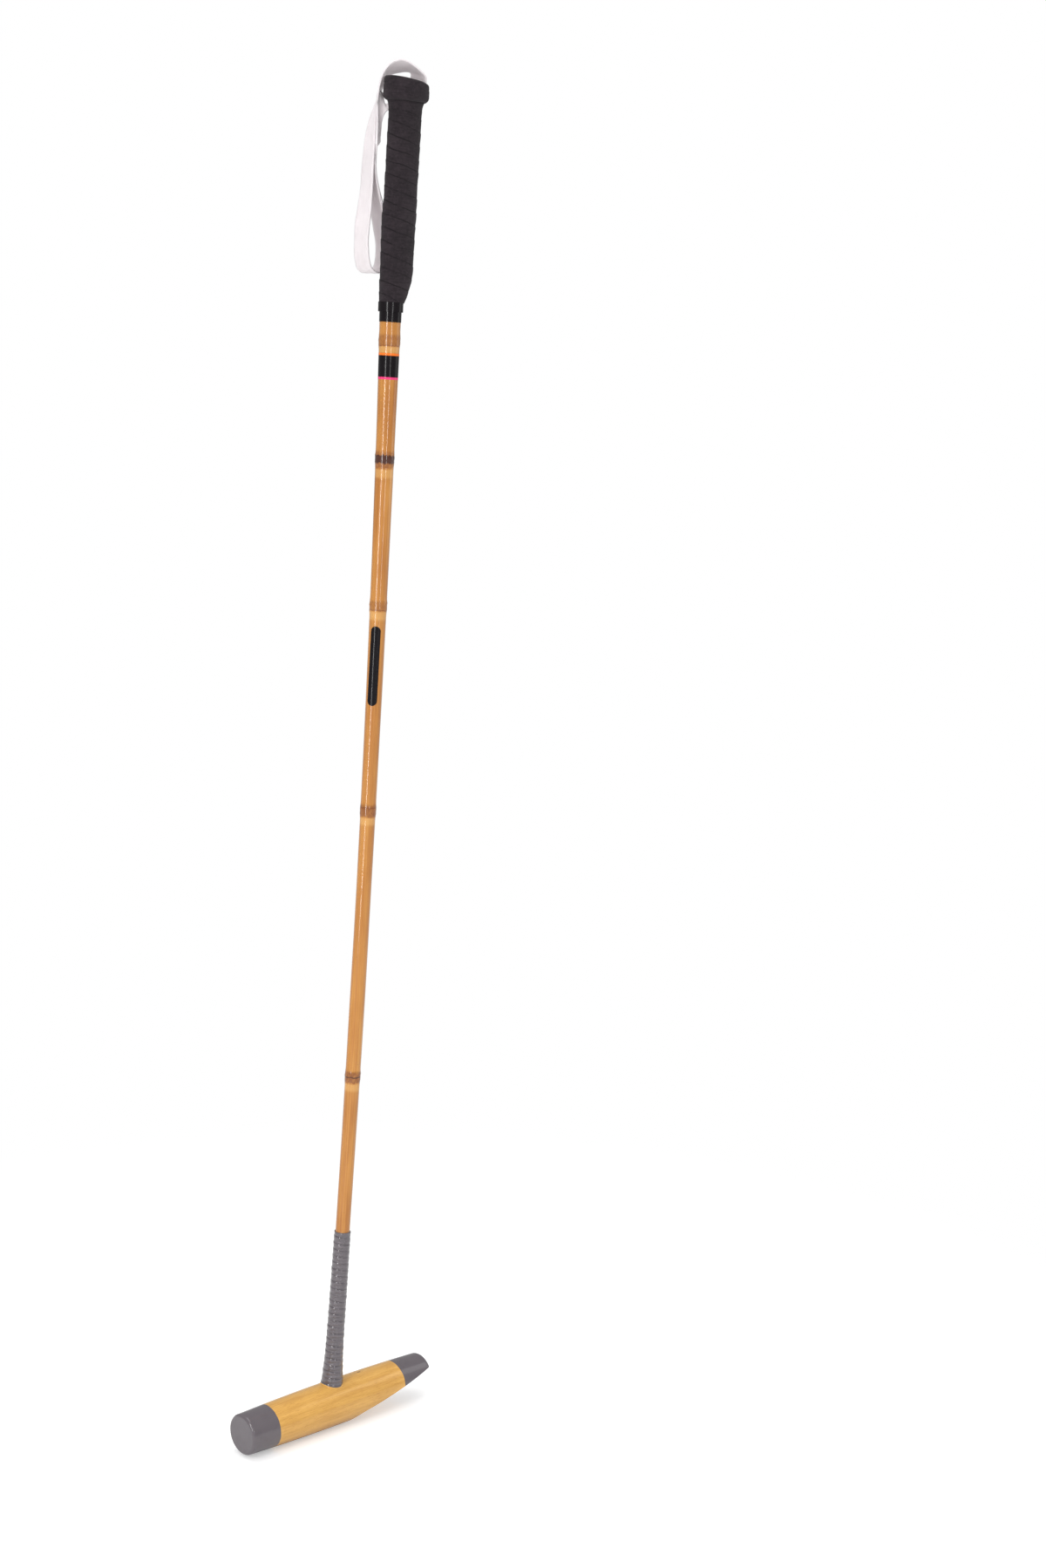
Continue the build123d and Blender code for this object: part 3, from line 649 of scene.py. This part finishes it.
def wristSling():
    count = (len(slingRows) - 1) * strap["perRow"]
    lengths = [0.0]
    for i in range(count):
        a, b = ((alongRows(slingRows, 0, (i + k) / count) + alongRows(slingRows, 1, (i + k) / count)) / 2 for k in (0, 1))
        lengths.append(lengths[-1] + (b - a).length)
    bm = bmesh.new()
    bmesh.ops.create_grid(bm, x_segments=strap["columns"], y_segments=count, size=0.5)
    layer = bm.loops.layers.uv.new("strap")
    for face in bm.faces:
        for loop in face.loops:
            loop[layer].uv = ((loop.vert.co.x + 0.5) * 25, lengths[round((loop.vert.co.y + 0.5) * count)])
    for vert in bm.verts:
        x, t = vert.co.x + 0.5, vert.co.y + 0.5
        near, far = alongRows(slingRows, 0, t), alongRows(slingRows, 1, t)
        spot = near + (far - near) * x + Vector((handle["shift"], 0, 1321.0))
        vert.co = place(*spot)
    bm.normal_update()
    half = strap["thick"] / 2000
    moved = {v: v.normal * half for v in bm.verts}
    for v, shift in moved.items():
        v.co -= shift
    bmesh.ops.solidify(bm, geom=bm.faces[:], thickness=-strap["thick"] / 1000)
    piece = addPiece("wristSling", bm, finishes["web"])
    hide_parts("sling_crown", "sling_loop", "sling_tail")
    top = place(handle["shift"] - 19, 27, 1321 - 66)
    low = place(handle["shift"] - 19, 27, 1321 - 80)
    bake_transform(piece)
    print("sling length in mm:", round(lengths[-1]))
    return piece


gripWinding()
knobCover()
footWinding()
varnishBead()
caneBark()
wristSling()
print("pieces made")

studio = {
    "floorTone": 0.75,
    "floorGlow": 0.34,
    "fill": 0.84,
    "mirror": 0.36,
    "lamps": [
        ("keyPanel", (-2.5, -1.3, 2.3), (0.0, 0.0, 0.9), 1.2, 1.4, 8.0),
        ("leftStrip", (-1.32, -0.44, 0.86), (0.0, 0.0, 0.62), 0.1, 1.1, 8.0),
        ("rightStrip", (-0.72, -2.25, 1.25), (0.0, 0.0, 0.9), 0.16, 1.3, 8.0),
        ("sidePanel", (2.2, -1.3, 1.5), (0.0, 0.0, 0.7), 0.9, 2.0, 6.0),
        ("topPanel", (0.1, 0.3, 2.9), (0.0, 0.0, 0.6), 1.6, 1.6, 16.0),
    ],
}


def makeFloor():
    bm = bmesh.new()
    bmesh.ops.create_grid(bm, x_segments=1, y_segments=1, size=9.0)
    bmesh.ops.translate(bm, verts=bm.verts, vec=(0, 0, -0.0004))
    mesh = bpy.data.meshes.new("paleFloor")
    bm.to_mesh(mesh)
    bm.free()
    floor = bpy.data.objects.new("paleFloor", mesh)
    bpy.context.scene.collection.objects.link(floor)
    f = Finish("paleFloor")
    tree = f.tree
    tree.nodes.remove(f.shader)
    matt = f.node("ShaderNodeBsdfDiffuse", {}, {"Color": (studio["floorTone"],) * 3 + (1,)})
    rays = f.node("ShaderNodeLightPath")
    seen = Field(f, rays.outputs["Is Camera Ray"])
    glow = f.node("ShaderNodeEmission", {}, {"Color": (1, 1, 1, 1), "Strength": seen * studio["floorGlow"]})
    both = f.node("ShaderNodeAddShader", {}, {0: matt.outputs[0], 1: glow.outputs[0]})
    far = Field(f, f.node("ShaderNodeVectorMath", {"operation": "LENGTH"}, {0: f.where}).outputs["Value"]).step(0.3, 0.95)
    white = f.node("ShaderNodeEmission", {}, {"Color": (1, 1, 1, 1), "Strength": 1.0})
    faded = f.node("ShaderNodeMixShader", {}, {0: far * seen, 1: both.outputs[0], 2: white.outputs[0]})
    f.feed(f.output.inputs["Surface"], faded.outputs[0])
    mesh.materials.append(f.material)


def makeWorld():
    world = bpy.data.worlds.new("studioWorld")
    bpy.context.scene.world = world
    world.use_nodes = True
    nodes, links = world.node_tree.nodes, world.node_tree.links
    back = nodes["Background"]
    back.inputs["Color"].default_value = (1, 1, 1, 1)
    rays = nodes.new("ShaderNodeLightPath")
    soft = nodes.new("ShaderNodeMapRange")
    soft.inputs["To Min"].default_value = studio["fill"]
    soft.inputs["To Max"].default_value = studio["mirror"]
    links.new(rays.outputs["Is Glossy Ray"], soft.inputs["Value"])
    level = nodes.new("ShaderNodeMapRange")
    level.inputs["To Max"].default_value = 1.0
    links.new(rays.outputs["Is Camera Ray"], level.inputs["Value"])
    links.new(soft.outputs[0], level.inputs["To Min"])
    links.new(level.outputs[0], back.inputs["Strength"])


def makeLamps():
    for name, spot, aim, width, height, power in studio["lamps"]:
        data = bpy.data.lights.new(name, "AREA")
        data.shape, data.size, data.size_y, data.energy = "RECTANGLE", width, height, power
        lamp = bpy.data.objects.new(name, data)
        lamp.location = spot
        lamp.rotation_euler = (Vector(aim) - Vector(spot)).to_track_quat("-Z", "Y").to_euler()
        bpy.context.scene.collection.objects.link(lamp)


view = {"spot": (-1.6119, -2.0231, 1.1847), "yaw": 42.785, "pitch": 11.539, "roll": 0.346, "lens": 63.2}


def makeCamera():
    yaw, pitch, roll = (radians(view[k]) for k in ("yaw", "pitch", "roll"))
    ahead = Vector((sin(yaw) * cos(pitch), cos(yaw) * cos(pitch), -sin(pitch)))
    right = Vector((cos(yaw), -sin(yaw), 0))
    up = right.cross(ahead)
    right, up = right * cos(roll) + up * sin(roll), up * cos(roll) - right * sin(roll)
    data = bpy.data.cameras.new("photoCamera")
    data.lens, data.sensor_width = view["lens"], 36.0
    data.clip_start, data.clip_end = 0.05, 40
    camera = bpy.data.objects.new("photoCamera", data)
    camera.matrix_world = Matrix.Translation(view["spot"]) @ Matrix((right, up, -ahead)).transposed().to_4x4()
    bpy.context.scene.collection.objects.link(camera)
    bpy.context.scene.camera = camera


makeFloor()
makeWorld()
makeLamps()
makeCamera()
bpy.context.scene.view_settings.view_transform = "Standard"
print("studio ready")

bpy.context.view_layer.update()
